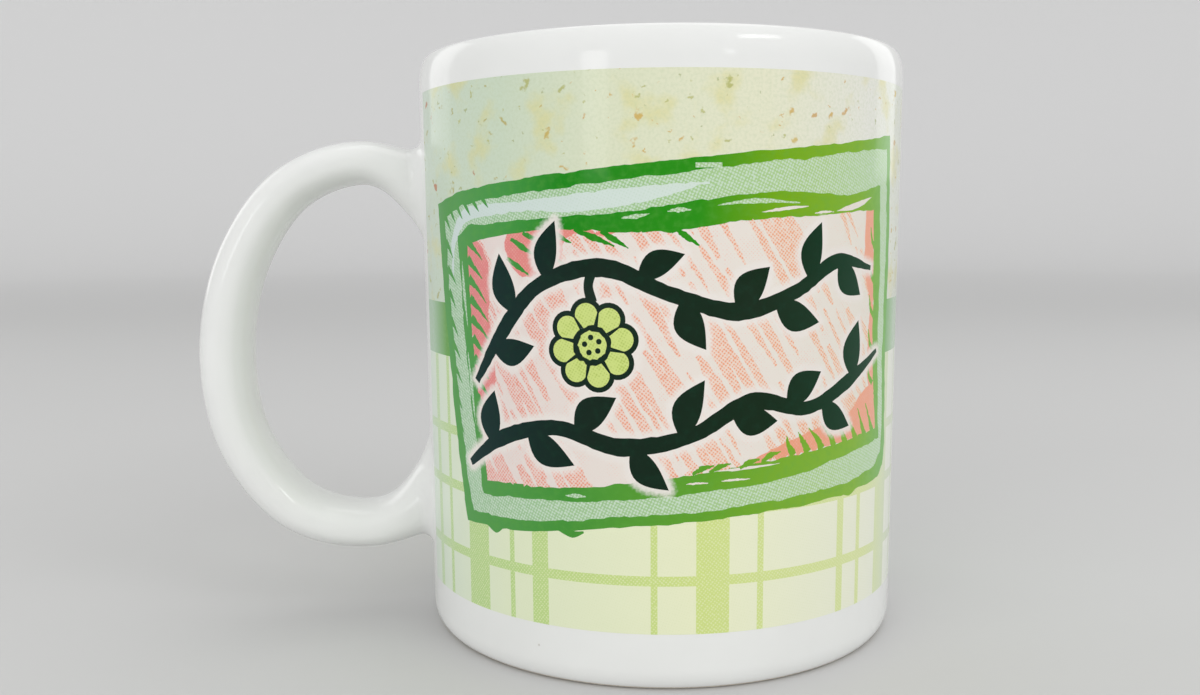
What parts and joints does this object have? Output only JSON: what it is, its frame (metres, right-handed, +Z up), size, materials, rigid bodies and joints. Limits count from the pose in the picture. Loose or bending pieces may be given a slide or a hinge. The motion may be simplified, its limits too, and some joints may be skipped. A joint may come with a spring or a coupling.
{
  "type": "ceramic mug",
  "caption": "Straight-sided glazed ceramic mug with a rounded loop handle, a raised foot ring and a printed wrap around the wall.",
  "frame": {"origin": "centre of the bounding box at the level of the foot ring, which is z = 0", "axes": "+Z up along the cup's axis, the handle points along -X, and +Y is square to the handle; the cup's axis is at x = +0.0189 m"},
  "size_m": [0.1204, 0.0826, 0.096],
  "materials": {
    "cup_glaze": "glossy white glaze, bare clay on the foot ring",
    "handle_glaze": "glossy white glaze",
    "slip_glaze": "glossy white glaze over a slip fillet",
    "print_coat": "glossy transfer print in pale greens, cream and salmon"
  },
  "bodies": {
    "root": {"cup_body": "cup_glaze", "handle": "handle_glaze", "upper_slip_joint": "slip_glaze", "lower_slip_joint": "slip_glaze", "printed_wrap": "print_coat"}
  },
  "joints": []
}
